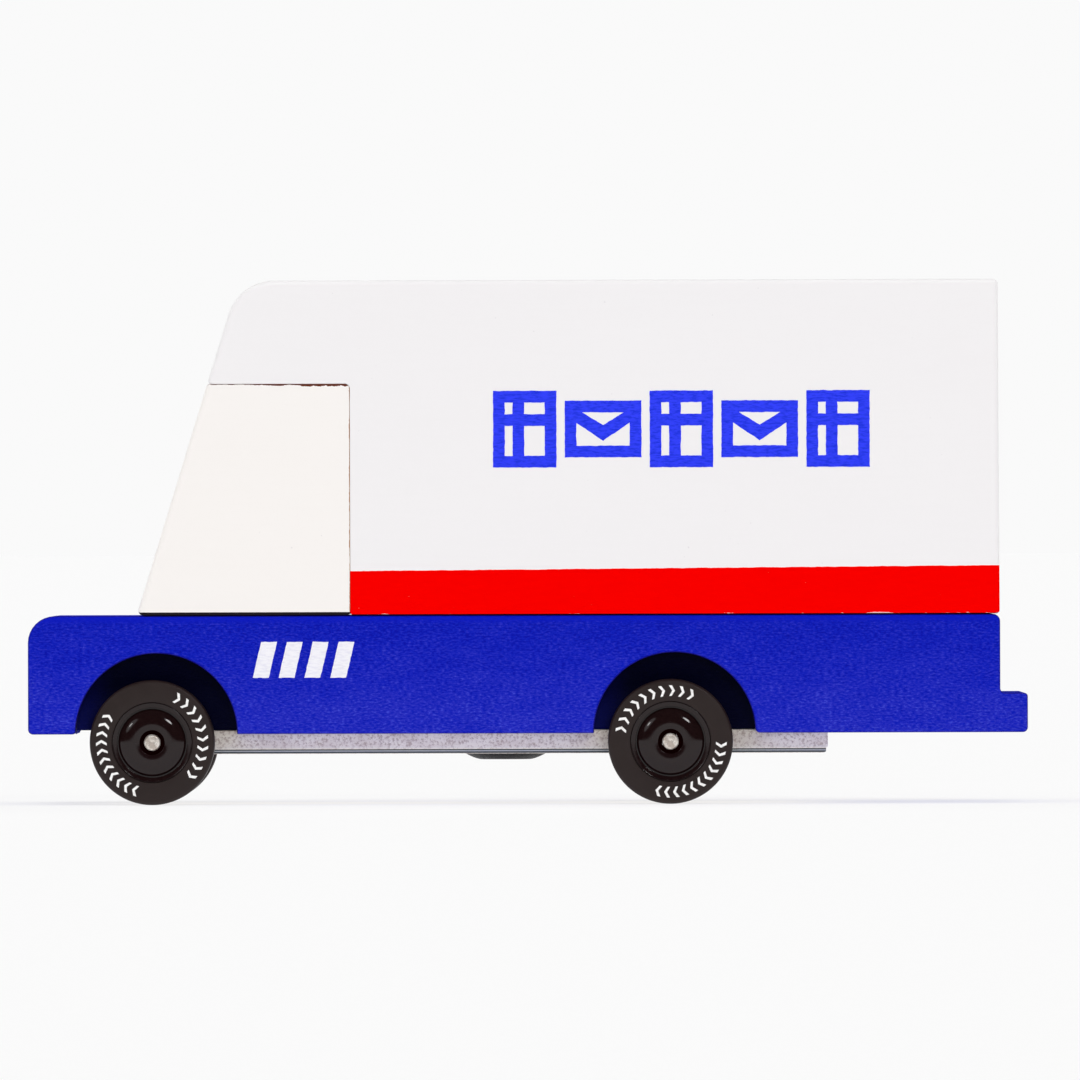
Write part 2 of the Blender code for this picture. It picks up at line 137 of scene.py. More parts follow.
# Paint and prints
BAND_HEIGHT = 5.27 * MM
BAND_RISE = 0.0067
PRINT_THICKNESS = 0.02 * MM
PRINT_STEP = 0.25 * MM
PRINT_JITTER = 0.06 * MM
PRINT_MERGE_DISTANCE = 0.0005 * MM
PRINT_SEED = 7
PARCEL = (7.6 * MM, 9.2 * MM)
ENVELOPE = (9.2 * MM, 6.8 * MM)
PICTOGRAM_COUNT = 5
PICTOGRAM_GAP = 1.0 * MM
PICTOGRAM_STROKE = 1.4 * MM
PICTOGRAM_CENTRE = (18.5 * MM, 45.0 * MM)
BAR_SIZE = (1.9 * MM, 4.3 * MM)
BAR_SLANT = 1.0 * MM
BAR_PITCH = 3.1 * MM
BAR_COUNT = 4
BARS_CENTRE = (-26.9 * MM, 17.4 * MM)
CHEVRON_RADIUS = 6.1 * MM
CHEVRON_HALF_HEIGHT = 0.64 * MM
CHEVRON_HALF_DEPTH = 0.36 * MM
CHEVRON_STROKE = 0.34 * MM
CHEVRON_RUNS = (
    # first and last angle in degrees, number of chevrons
    (-40, 60, 10),
    (150, 250, 11),
)

# Camera and stage
CAMERA_PLACE = (1.5 * MM, -3.5, 31.7 * MM)
CAMERA_ROLL = math.radians(0.15)
VIEW_WIDTH = 129.6 * MM
BACKDROP = 0.955
SOFT_LIGHT = 0.17
KEY_RIGHT = (0.36, -0.80, 0.47)
KEY_LEFT = (-0.52, -0.74, 0.42)
LIGHTS = (
    # name, direction it comes from, strength, angular size in degrees, shows in reflections
    ("front_right", KEY_RIGHT, 0.42, 10, True),
    ("front_left", KEY_LEFT, 0.16, 24, True),
    ("front_left_spot", KEY_LEFT, 0.14, 7, True),
    ("front_fill", (0.05, -1.0, 0.05), 0.57, 12, False),
    ("top_fill", (0.0, -0.25, 1.0), 1.6, 60, False),
    ("back_right", (0.7, 0.6, 0.3), 0.95, 30, True),
    ("back_left", (-0.7, 0.6, 0.3), 0.95, 30, True),
)
FLOOR_RADIUS = 60.0

SIDES = {"left": -1, "right": 1}
AXLES = {joint["child"].split("_")[0]: Vector(joint["pos_m"]) for joint in frame["joints"]}


# Outlines


def arc_at_corner(before, corner, after, radius, steps):
    """Points of the arc that rounds a corner, from its first tangent point to its last."""
    to_before = (before - corner).normalized()
    to_after = (after - corner).normalized()
    half_angle = to_before.angle(to_after) / 2
    centre = corner + (to_before + to_after).normalized() * (radius / math.sin(half_angle))
    start = corner + to_before * (radius / math.tan(half_angle)) - centre
    end = corner + to_after * (radius / math.tan(half_angle)) - centre
    turn = math.atan2(start.cross(end), start.dot(end))
    return [centre + Matrix.Rotation(turn * i / steps, 2) @ start for i in range(steps + 1)]


def rounded_outline(corners, steps=8):
    """A closed outline from corners that start (x, z, radius). A radius of 0 leaves the corner sharp."""
    places = [Vector(corner[:2]) for corner in corners]
    outline = []
    for i, (_, _, radius, *_) in enumerate(corners):
        if radius:
            after = places[(i + 1) % len(places)]
            outline += arc_at_corner(places[i - 1], places[i], after, radius, steps)
        else:
            outline.append(places[i])
    return outline


def inset(corners, share):
    """The same outline with each side moved inwards by a share of its own rim.

    The (x, z, radius, rim) corners run clockwise, and a corner's rim is that of the side which follows it.
    """
    moved = []
    for i, (x, z, radius, rim) in enumerate(corners):
        here = Vector((x, z))
        along_before = (here - Vector(corners[i - 1][:2])).normalized()
        along_after = (Vector(corners[(i + 1) % len(corners)][:2]) - here).normalized()
        rim_before, rim_after = corners[i - 1][3] * share, rim * share
        turn = along_before.cross(along_after)
        place = here + (along_before * rim_after - along_after * rim_before) / turn
        change = math.copysign((rim_before + rim_after) / 2, turn)
        moved.append((*place, max(radius + change, LEAST_RADIUS) if radius else 0, rim))
    return moved


def arc_points(centre_x, centre_z, radius, start, end, rim=0.0):
    """Sharp corners along an arc, close enough together to look round."""
    angles = [start + (end - start) * i / ARCH_STEPS for i in range(ARCH_STEPS + 1)]
    return [(centre_x + radius * math.cos(a), centre_z + radius * math.sin(a), 0, rim) for a in angles]


# Meshes


def link_mesh(name, mesh):
    obj = bpy.data.objects.new(name, mesh)
    bpy.context.scene.collection.objects.link(obj)
    return obj


def mesh_from(shape, name):
    bmesh.ops.recalc_face_normals(shape, faces=shape.faces)
    mesh = bpy.data.meshes.new(name)
    shape.to_mesh(mesh)
    shape.free()
    return mesh


def shade_round(obj):
    """Smooth shading on rounded edges, with the flat faces kept flat."""
    obj.data.shade_smooth()
    obj.data.set_sharp_from_angle(angle=BLOCK_SHARP_ANGLE)
    weighted = obj.modifiers.new("flat faces stay flat", "WEIGHTED_NORMAL")
    weighted.keep_sharp = True


def block(name, corners, half_width, rim_depth=0.0, steps=8):
    """A side outline made solid across the truck, with its two sides' rims rounded over the depth given."""
    turns = [math.radians(90) * i / RIM_STEPS for i in range(RIM_STEPS + 1)] if rim_depth else [0]
    half = [(1 - math.cos(turn), half_width - rim_depth * (1 - math.sin(turn))) for turn in turns]
    sections = [(share, -y) for share, y in reversed(half)] + half
    shape = bmesh.new()
    rings = []
    for share, y in sections:
        outline = rounded_outline(inset(corners, share), steps)
        rings.append([shape.verts.new((point.x, y, point.y)) for point in outline])
    for ring, following in zip(rings, rings[1:]):
        for k in range(len(ring)):
            shape.faces.new((ring[k - 1], ring[k], following[k], following[k - 1]))
    shape.faces.new(rings[0])
    shape.faces.new(rings[-1])
    return link_mesh(name, mesh_from(shape, name))


def turned(name, profile, steps=96):
    """A (radius, z) profile turned about Z. It is closed, or it starts and ends on the axis."""
    shape = bmesh.new()
    points = [shape.verts.new((radius, 0.0, z)) for radius, z in profile]
    pairs = list(zip(points, points[1:]))
    if profile[0][0] > 0:
        pairs.append((points[-1], points[0]))
    edges = [shape.edges.new(pair) for pair in pairs]
    bmesh.ops.spin(
        shape,
        geom=points + edges,
        cent=(0, 0, 0),
        axis=(0, 0, 1),
        angle=math.tau,
        steps=steps,
        use_merge=True,
    )
    bmesh.ops.remove_doubles(shape, verts=shape.verts, dist=MERGE_DISTANCE)
    mesh = mesh_from(shape, name)
    mesh.shade_smooth()
    mesh.set_sharp_from_angle(angle=TURNED_SHARP_ANGLE)
    return mesh


def box_tool(low, high):
    low, high = Vector(low), Vector(high)
    shape = bmesh.new()
    bmesh.ops.create_cube(shape, size=1.0)
    bmesh.ops.scale(shape, vec=high - low, verts=shape.verts)
    bmesh.ops.translate(shape, vec=(low + high) / 2, verts=shape.verts)
    return link_mesh("tool", mesh_from(shape, "tool"))


def cylinder_tool(radius, start, end):
    start, end = Vector(start), Vector(end)
    shape = bmesh.new()
    bmesh.ops.create_cone(
        shape, cap_ends=True, segments=64, radius1=radius, radius2=radius, depth=(end - start).length
    )
    tool = link_mesh("tool", mesh_from(shape, "tool"))
    turn = (end - start).to_track_quat("Z", "Y").to_matrix().to_4x4()
    tool.matrix_world = Matrix.Translation((start + end) / 2) @ turn
    return tool


def combine(obj, tool, operation="DIFFERENCE"):
    """Cuts the tool from the object or joins it on, and removes the tool."""
    change = obj.modifiers.new("combine", "BOOLEAN")
    change.operation = operation
    change.solver = "EXACT"
    change.object = tool
    shape = bmesh.new()
    shape.from_object(obj, bpy.context.evaluated_depsgraph_get())
    bmesh.ops.dissolve_degenerate(shape, edges=shape.edges, dist=MERGE_DISTANCE)
    obj.modifiers.clear()
    obj.data = mesh_from(shape, obj.name)
    bpy.data.objects.remove(tool)


def make_room_for(obj, *nodes):
    """Upright holes round CAD nodes such as dowels and screws."""
    for node in nodes:
        low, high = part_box(node)
        middle = (low + high) / 2
        radius = (high.x - low.x) / 2 + PRESS_GAP
        bottom = (middle.x, middle.y, low.z - PRESS_GAP)
        combine(obj, cylinder_tool(radius, bottom, (middle.x, middle.y, high.z + PRESS_GAP)))


def dress(obj, node, body, material):
    """Puts a new piece in the place of a CAD node."""
    obj.data.materials.clear()
    obj.data.materials.append(material)
    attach(obj, body)
    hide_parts(node)


# Node materials


class NodeTree:
    """Builds a node tree call by call. Each call returns the socket that it made."""

    def __init__(self, tree, coordinates="Object"):
        self.nodes, self.links = tree.nodes, tree.links
        self.place = self.node("ShaderNodeTexCoord", {}, coordinates)

    def set(self, socket, value):
        if isinstance(value, bpy.types.NodeSocket):
            self.links.new(value, socket)
        else:
            socket.default_value = value

    def node(self, kind, inputs, output=0, **settings):
        made = self.nodes.new(kind)
        for name, value in settings.items():
            setattr(made, name, value)
        for socket, value in inputs.items():
            self.set(made.inputs[socket], value)
        return made.outputs[output]

    def math(self, operation, first, second=0.0):
        return self.node("ShaderNodeMath", {0: first, 1: second}, operation=operation)

    def noise(self, size, stretch=(1, 1, 1), detail=3.0, roughness=0.5):
        """Cloudy noise from 0 to 1 whose features are about size metres across."""
        place = self.node("ShaderNodeMapping", {"Vector": self.place, "Scale": stretch})
        inputs = {"Vector": place, "Scale": 1 / size, "Detail": detail, "Roughness": roughness}
        return self.node("ShaderNodeTexNoise", inputs)

    def axis(self, letter, vector=None):
        return self.node("ShaderNodeSeparateXYZ", {"Vector": vector or self.place}, letter)

    def normal(self, letter):
        return self.axis(letter, self.node("ShaderNodeNewGeometry", {}, "Normal"))

    def off_axis(self, first, first_at, second, second_at):
        """Distance from the line where one coordinate is first_at and another is second_at."""
        first_gap = self.math("SUBTRACT", self.axis(first), first_at)
        second_gap = self.math("SUBTRACT", self.axis(second), second_at)
        squares = (self.math("MULTIPLY", gap, gap) for gap in (first_gap, second_gap))
        return self.math("SQRT", self.math("ADD", *squares))

    def step(self, value, low, high, start=0.0, end=1.0):
        """Goes smoothly from start to end as the value goes from low to high."""
        inputs = {"Value": value, "From Min": low, "From Max": high, "To Min": start, "To Max": end}
        return self.node("ShaderNodeMapRange", inputs, interpolation_type="SMOOTHSTEP")

    def mix(self, share, first, second):
        """Goes from the first colour to the second as the share goes from 0 to 1."""
        made = self.nodes.new("ShaderNodeMix")
        made.data_type = "RGBA"
        self.set(made.inputs[0], share)
        for socket, colour in ((made.inputs[6], first), (made.inputs[7], second)):
            self.set(socket, (*colour, 1.0) if isinstance(colour, tuple) else colour)
        return made.outputs[2]

    def ramp(self, value, stops):
        """Runs through (position, colour) stops as the value goes from 0 to 1."""
        made = self.nodes.new("ShaderNodeValToRGB")
        self.links.new(value, made.inputs[0])
        for _ in range(len(stops) - 2):
            made.color_ramp.elements.new(0.5)
        for element, (position, colour) in zip(made.color_ramp.elements, stops):
            element.position = position
            element.color = (*colour, 1.0)
        return made.outputs[0]

    def bump(self, height, depth):
        return self.node("ShaderNodeBump", {"Height": height, "Distance": depth})


class Finish(NodeTree):
    """A material for one kind of surface."""

    def __init__(self, name):
        self.material = bpy.data.materials.new(name)
        self.material.use_nodes = True
        super().__init__(self.material.node_tree)

    def done(self, **inputs):
        """Sets the Principled inputs, with spaces in their names written as underscores."""
        shader = self.nodes["Principled BSDF"]
        for name, value in inputs.items():
            self.set(shader.inputs[name.replace("_", " ")], value)
        return self.material


def blue_paint(low, high):
    """Sprayed gloss over wood, with a fine orange-peel skin.

    Light and shade are painted into its colour: pale bumps and dark dents in the peel, more saturated and
    darker towards the top, dark side rims and wheel wells, and a lighter front in each well.
    """
    paint = Finish("blue_paint")
    x, z = paint.axis("X"), paint.axis("Z")
    # Painted light and shade: the ramp below colours the peel's bumps pale and its dents dark, with a
    # painted glint on the highest.
    peel = paint.noise(0.2 * MM, (0.4, 1, 1), 4, 0.6)
    cloud = paint.noise(1.8 * MM, (0.38, 1, 1), 4, 0.6)
    drift = paint.math("MULTIPLY", paint.math("SUBTRACT", cloud, 0.5), 0.25)
    # Painted shade: darker and more saturated towards the top, lighter towards the foot.
    painted_shade_by_height = paint.step(z, low.z, high.z, -0.06, -0.19)
    tone = paint.math("ADD", paint.math("MULTIPLY", peel, 1.2), paint.math("ADD", drift, painted_shade_by_height))
    colour = paint.ramp(
        tone,
        [
            (0.30, (0.0, 0.004, 0.39)),
            (0.42, (0.0, 0.010, 0.49)),
            (0.52, (0.012, 0.018, 0.50)),
            (0.62, (0.022, 0.028, 0.53)),
            (0.76, (0.050, 0.070, 0.66)),
        ],
    )
    # Painted shade under the blocks above: the top strip is made deeper and more saturated.
    shaded_top_strip = paint.step(z, high.z - 1.1 * MM, high.z - 0.5 * MM, 0.0, 0.8)
    colour = paint.mix(shaded_top_strip, colour, (0.0, 0.007, 0.52))
    # Painted shade: the rounded side rims, turned away from the light, are darkened.
    edge = paint.step(paint.math("ABSOLUTE", paint.normal("Y")), 0.55, 0.85, 0.85, 0.0)
    off_middle = paint.math("ABSOLUTE", paint.axis("Y"))
    at_side = paint.step(off_middle, high.y - BODY_RIM, high.y - BODY_RIM / 2)
    colour = paint.mix(paint.math("MULTIPLY", edge, at_side), colour, (0.012, 0.003, 0.17))
    # Painted shade: the wood inside each wheel well is made near-black, with painted light lifting it a
    # little towards the well's front.
    for place in AXLES.values():
        arch_x = place.x + ARCH_BEHIND_AXLE
        from_arch = paint.off_axis("X", arch_x, "Z", low.z)
        shaded_well = paint.math("LESS_THAN", from_arch, ARCH_RADIUS + PRESS_GAP)
        set_back = paint.math("LESS_THAN", off_middle, high.y - BODY_RIM)
        lit_front_of_well = paint.step(x, arch_x - ARCH_RADIUS, arch_x - ARCH_RADIUS / 2)
        dark = paint.mix(lit_front_of_well, (0.003, 0.005, 0.11), (0.001, 0.0014, 0.022))
        colour = paint.mix(paint.math("MULTIPLY", shaded_well, set_back), colour, dark)
    return paint.done(
        Base_Color=colour,
        Roughness=paint.step(peel, 0.3, 0.7, 0.5, 0.38),
        Specular_IOR_Level=0.08,
        Normal=paint.bump(peel, 0.15 * MM),
    )


def pale_paint(name, light, shade):
    """Thin brushed paint whose grain barely shows.

    Returns the unfinished material, its colour and the height of its grain.
    """
    paint = Finish(name)
    streaks = paint.noise(0.5 * MM, (0.06, 1, 1), 3, 0.6)
    cloud = paint.noise(9 * MM, (0.4, 1, 1), 2)
    colour = paint.mix(paint.math("MULTIPLY", paint.math("ADD", streaks, cloud), 0.5), shade, light)
    pits = paint.step(paint.noise(0.5 * MM, (1, 1, 1), 1), 0.77, 0.81, 0.0, 0.4)
    return paint, paint.mix(pits, colour, (0.60, 0.57, 0.60)), streaks


def cream_paint(low, high):
    """Cream with bare wood along its seams to the box, deepened by painted shade along the top seam, and a
    near-black painted shadow along its foot on the body.
    """
    paint, colour, streaks = pale_paint("cream_paint", (0.935, 0.903, 0.878), (0.915, 0.878, 0.850))
    x, z = paint.axis("X"), paint.axis("Z")
    wander = paint.noise(0.9 * MM, (0.5, 1, 0.5), 4, 0.7)
    breaks = paint.step(wander, 0.35, 0.62, 0.35, 1.2)
    top_width = paint.step(x, high.x - 12 * MM, high.x - 4 * MM, 0.12 * MM, 0.27 * MM)
    rear_width = paint.math("MULTIPLY", breaks, 0.10 * MM)
    # Bare wood along the seam under the box's brow, darkened by painted shade of the gap and widening
    # towards the rear.
    top_seam_wood_and_shade = paint.math(
        "LESS_THAN", paint.math("SUBTRACT", high.z, z), paint.math("MULTIPLY", breaks, top_width)
    )
    rear_stain = paint.math("LESS_THAN", paint.math("SUBTRACT", high.x, x), rear_width)
    # Painted shadow: a near-black strip along the foot, where the cab meets the body.
    foot_gap_shadow = paint.math("LESS_THAN", paint.math("SUBTRACT", z, low.z), 0.36 * MM)
    colour = paint.mix(rear_stain, colour, (0.55, 0.31, 0.18))
    colour = paint.mix(top_seam_wood_and_shade, colour, (0.13, 0.03, 0.012))
    colour = paint.mix(foot_gap_shadow, colour, (0.006, 0.002, 0.006))
    return paint.done(
        Base_Color=colour, Roughness=0.5, Specular_IOR_Level=0.2, Normal=paint.bump(streaks, 0.012 * MM)
    )


def white_paint(low, high):
    """White with a red band along the foot.

    The band's masked top edge wanders a little, its foot has pale pink patches, more towards the rear, and
    a painted shadow runs along the very foot.
    """
    paint, colour, streaks = pale_paint("white_paint", (0.892, 0.874, 0.882), (0.868, 0.848, 0.857))
    x, z = paint.axis("X"), paint.axis("Z")
    wander = paint.noise(1.6 * MM, (1, 1, 1), 5, 0.7)
    slope = paint.math("MULTIPLY", paint.math("SUBTRACT", x, low.x), BAND_RISE)
    waves = paint.math("MULTIPLY", paint.math("SUBTRACT", wander, 0.5), 0.25 * MM)
    edge = paint.math("ADD", paint.math("ADD", slope, waves), low.z + BAND_HEIGHT)
    above = paint.math("SUBTRACT", z, edge)
    red = paint.mix(paint.noise(0.4 * MM, (0.2, 1, 1), 2), (0.90, 0.0, 0.0), (0.95, 0.0006, 0.0))
    specks = paint.step(paint.noise(0.3 * MM, (1, 1, 1), 1), 0.82, 0.85, 0.0, 0.5)
    red = paint.mix(specks, red, (0.95, 0.30, 0.25))
    colour = paint.mix(paint.step(above, -0.02 * MM, 0.02 * MM), red, colour)
    # Pale pink patches along the band's foot, more of them towards the rear.
    foot_patches = paint.noise(0.6 * MM, (0.22, 1, 1), 4, 0.75)
    rear_growth = paint.step(x, high.x - 18 * MM, high.x - 14 * MM, 0.0, 0.12)
    patch_reach = paint.step(paint.math("ADD", foot_patches, rear_growth), 0.52, 0.72, 0.0, 0.21 * MM)
    pale_foot = paint.math("LESS_THAN", paint.math("SUBTRACT", z, low.z), patch_reach)
    colour = paint.mix(pale_foot, colour, (0.85, 0.62, 0.60))
    # Painted shadow: a near-black line along the very foot, where the box meets the body.
    foot = paint.math("LESS_THAN", paint.math("SUBTRACT", z, low.z), 0.09 * MM)
    colour = paint.mix(foot, colour, (0.02, 0.003, 0.006))
    return paint.done(
        Base_Color=colour,
        Roughness=0.5,
        Specular_IOR_Level=paint.step(above, -0.03 * MM, 0.03 * MM, 0.0, 0.2),
        Normal=paint.bump(streaks, 0.012 * MM),
    )


def bare_wood():
    wood = Finish("bare_wood")
    rings = wood.noise(1.2 * MM, (1, 1, 0.12), 3)
    pores = wood.noise(0.25 * MM, (1, 1, 0.15), 2)
    colour = wood.mix(rings, (0.55, 0.36, 0.20), (0.70, 0.50, 0.31))
    return wood.done(Base_Color=colour, Roughness=0.65, Normal=wood.bump(pores, 0.05 * MM))


def silver_casting(split_z, slab_z):
    """Cast metal with a granular skin. Painted light brightens the flank above the lower slab, painted
    shade darkens the lower slab's side with a painted highlight line along it, and the boss is near-black
    with little gloss.
    """
    metal = Finish("silver_casting")
    grain = metal.noise(0.33 * MM, (1, 1, 1), 3, 0.7)
    cloud = metal.noise(1.5 * MM, (0.4, 1, 1), 2)
    z = metal.axis("Z")
    colour = metal.mix(metal.step(grain, 0.32, 0.55), (0.55, 0.44, 0.39), (1.0, 0.93, 0.85))
    colour = metal.mix(metal.step(cloud, 0.35, 0.7, 0.0, 0.3), colour, (0.62, 0.50, 0.46))
    side_on = metal.step(metal.math("ABSOLUTE", metal.normal("Z")), 0.4, 0.8, 1.0, 0.0)
    # Painted light: the flank just above the lower slab is brightened, as if lit from the floor.
    painted_floor_light = metal.math("MULTIPLY", side_on, metal.step(z, split_z, split_z + 0.5 * MM, 0.6, 0.0))
    colour = metal.mix(painted_floor_light, colour, (1.0, 0.96, 0.90))
    # Painted shade: the side of the lower slab, facing down under the plate, is made dark.
    below_split = metal.step(z, split_z - 0.02 * MM, split_z + 0.02 * MM, 1.0, 0.0)
    lower = metal.math("MULTIPLY", side_on, below_split)
    colour = metal.mix(lower, colour, (0.05, 0.065, 0.075))
    # Painted highlight: a thin pale line along the side of the lower slab.
    highlight_gap = metal.math("ABSOLUTE", metal.math("SUBTRACT", z, split_z - 0.22 * MM))
    line = metal.math("MULTIPLY", lower, metal.math("LESS_THAN", highlight_gap, 0.06 * MM))
    colour = metal.mix(line, colour, (0.55, 0.58, 0.60))
    # The boss below the lower slab is near-black and has little gloss.
    boss = metal.step(z, slab_z - 0.05 * MM, slab_z - 0.01 * MM, 1.0, 0.0)
    colour = metal.mix(boss, colour, (0.008, 0.008, 0.010))
    return metal.done(
        Base_Color=colour,
        Metallic=metal.math("SUBTRACT", 0.04, metal.math("MULTIPLY", boss, 0.04)),
        Specular_IOR_Level=metal.math("SUBTRACT", 0.9, metal.math("MULTIPLY", boss, 0.8)),
        Roughness=metal.step(grain, 0.3, 0.7, 0.55, 0.35),
        Normal=metal.bump(grain, 0.04 * MM),
    )


def steel():
    metal = Finish("steel")
    turning = metal.noise(0.12 * MM, (1, 1, 1), 3, 0.6)
    cloud = metal.noise(0.7 * MM, (1, 1, 1), 2)
    colour = metal.mix(metal.step(cloud, 0.35, 0.65), (0.55, 0.48, 0.42), (0.98, 0.93, 0.86))
    return metal.done(
        Base_Color=colour,
        Metallic=0.6,
        Roughness=metal.step(turning, 0.3, 0.7, 0.25, 0.5),
        Normal=metal.bump(turning, 0.03 * MM),
    )


def black_plastic(dome_top):
    """Glossy moulding, with painted shade in the recess round the axle's end, which is made dark and
    without gloss.
    """
    plastic = Finish("black_plastic")
    haze = plastic.noise(0.6 * MM, (1, 1, 1), 3)
    scuffs = plastic.noise(0.15 * MM, (1, 1, 1), 2)
    colour = plastic.mix(haze, (0.007, 0.002, 0.0025), (0.012, 0.005, 0.005))
    from_axle = plastic.off_axis("X", 0.0, "Y", 0.0)
    inside = plastic.math("LESS_THAN", from_axle, PIN_RECESS_RADIUS + TINY_ROUND / 2)
    sunk = plastic.math("LESS_THAN", plastic.axis("Z"), dome_top - TINY_ROUND)
    # Painted shade: the recess round the axle's end is made dark, with its gloss turned off.
    shaded_recess = plastic.math("MULTIPLY", inside, sunk)
    return plastic.done(
        Base_Color=plastic.mix(shaded_recess, colour, (0.006, 0.0005, 0.0005)),
        Roughness=plastic.step(haze, 0.35, 0.7, 0.06, 0.11),
        Specular_IOR_Level=plastic.math("SUBTRACT", 0.34, plastic.math("MULTIPLY", shaded_recess, 0.34)),
        Normal=plastic.bump(scuffs, 0.001 * MM),
    )


def black_rubber():
    rubber = Finish("black_rubber")
    bloom = rubber.noise(1.5 * MM, (1, 1, 1), 3)
    pores = rubber.noise(0.12 * MM, (1, 1, 1), 2)
    colour = rubber.mix(bloom, (0.014, 0.007, 0.006), (0.020, 0.011, 0.010))
    return rubber.done(
        Base_Color=colour,
        Roughness=rubber.step(bloom, 0.35, 0.65, 0.40, 0.5),
        Specular_IOR_Level=0.34,
        Normal=rubber.bump(pores, 0.006 * MM),
    )


def print_ink(name, light, shade):
    """Pad-printed ink, thin enough for the grain below to streak it."""
    ink = Finish(name)
    streaks = ink.noise(0.25 * MM, (0.25, 1, 1), 3, 0.65)
    colour = ink.mix(ink.step(streaks, 0.32, 0.6), shade, light)
    return ink.done(
        Base_Color=colour, Roughness=0.55, Specular_IOR_Level=0.1, Normal=ink.bump(streaks, 0.01 * MM)
    )


# Blocks


def arch(axle, floor_z, front_corner, rear_corner):
    """Corners of a wheel arch in a block's underside, from its rear foot over the top to its front foot."""
    x = AXLES[axle].x + ARCH_BEHIND_AXLE
    over = arc_points(x, floor_z, ARCH_RADIUS, ARCH_FOOT_ANGLE, math.pi - ARCH_FOOT_ANGLE, BODY_RIM)
    rear_foot = (x + ARCH_RADIUS, floor_z, rear_corner, BODY_RIM)
    return [rear_foot, *over, (x - ARCH_RADIUS, floor_z, front_corner, BODY_RIM)]


def well_wall(axle, floor_z):
    """The half disc of wood between the two wells of an axle, sunk a little into the block round it."""
    x = AXLES[axle].x + ARCH_BEHIND_AXLE
    return block("tool", arc_points(x, floor_z, ARCH_RADIUS + WELL_OVERLAP, 0, math.pi), WELL_WALL_Y)


def make_lower_body():
    low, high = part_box("lower_body")
    plate_low, plate_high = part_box("chassis_plate")
    step_x, step_z = high.x - BUMPER_DEPTH, low.z + BUMPER_HEIGHT
    corners = [
        (low.x, low.z, CORNER, BODY_RIM),
        (low.x, high.z, NOSE_RADIUS, BODY_RIM),
        (step_x, high.z, SOFT_CORNER, BODY_RIM),
        (step_x, step_z, CORNER, BODY_RIM),
        (high.x, step_z, SMALL_CORNER, BODY_RIM),
        (high.x, low.z, CORNER, BODY_RIM),
        *arch("rear", low.z, 0, CORNER),
        *arch("front", low.z, SMALL_CORNER, 0),
    ]
    body = block("lower_body_finish", corners, high.y, BODY_RIM)
    for axle in AXLES:
        combine(body, well_wall(axle, low.z), "UNION")
    seat_front_x = AXLES["front"].x + ARCH_BEHIND_AXLE - ARCH_RADIUS - PRESS_GAP
    seat_y = plate_high.y + PRESS_GAP
    seat_low = (seat_front_x, -seat_y, plate_low.z)
    combine(body, box_tool(seat_low, (plate_high.x + PRESS_GAP, seat_y, plate_high.z + PRESS_GAP)))
    make_room_for(body, "cab_dowel_left", "cab_dowel_right", "box_dowel_front", "box_dowel_rear")
    shade_round(body)
    dress(body, "lower_body", "truck", blue_paint(low, high))


def windshield_x(z):
    """Where the raked front of the cab, and of the brow above it, is at height z."""
    front_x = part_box("lower_body")[0].x + CAB_FRONT_TO_NOSE
    return front_x + (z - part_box("cab_block")[0].z) * math.tan(RAKE)


def make_cab_block():
    low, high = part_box("cab_block")
    low, high = Vector((low.x, low.y, low.z - FOOT_FILL)), high + Vector((SEAM_FILL, 0, SEAM_FILL))
    corners = [
        (windshield_x(low.z), low.z, CORNER, WINDSHIELD_RIM),
        (windshield_x(high.z), high.z, SMALL_CORNER, SEAM_RIM),
        (high.x, high.z, CORNER, SEAM_RIM),
        (high.x, low.z, SMALL_CORNER, SEAM_RIM),
    ]
    cab = block("cab_block_finish", corners, high.y, BLOCK_RIM_DEPTH)
    make_room_for(cab, "cab_dowel_left", "cab_dowel_right")
    shade_round(cab)
    dress(cab, "cab_block", "truck", cream_paint(low, high))


def make_cargo_box():
    low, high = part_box("cargo_box")
    cab_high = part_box("cab_block")[1]
    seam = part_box("cab_block")[0].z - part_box("lower_body")[1].z
    foot_z = low.z - FOOT_FILL
    brow_z = cab_high.z + seam - SEAM_FILL
    front_x = cab_high.x + seam - SEAM_FILL
    corners = [
        (front_x, foot_z, SMALL_CORNER, SEAM_RIM),
        (front_x, brow_z, CORNER, SEAM_RIM),
        (windshield_x(brow_z), brow_z, SMALL_CORNER, WINDSHIELD_RIM),
        (windshield_x(high.z), high.z, BROW_RADIUS, OPEN_RIM),
        (high.x - BOX_REAR_LEAN, high.z, CORNER, OPEN_RIM),
        (high.x, foot_z, SMALL_CORNER, SEAM_RIM),
    ]
    box = block("cargo_box_finish", corners, high.y, BLOCK_RIM_DEPTH, steps=12)
    make_room_for(box, "box_dowel_front", "box_dowel_rear")
    shade_round(box)
    dress(box, "cargo_box", "truck", white_paint(Vector((front_x, 0, foot_z)), high))


# Chassis plate and the CAD pieces that stay


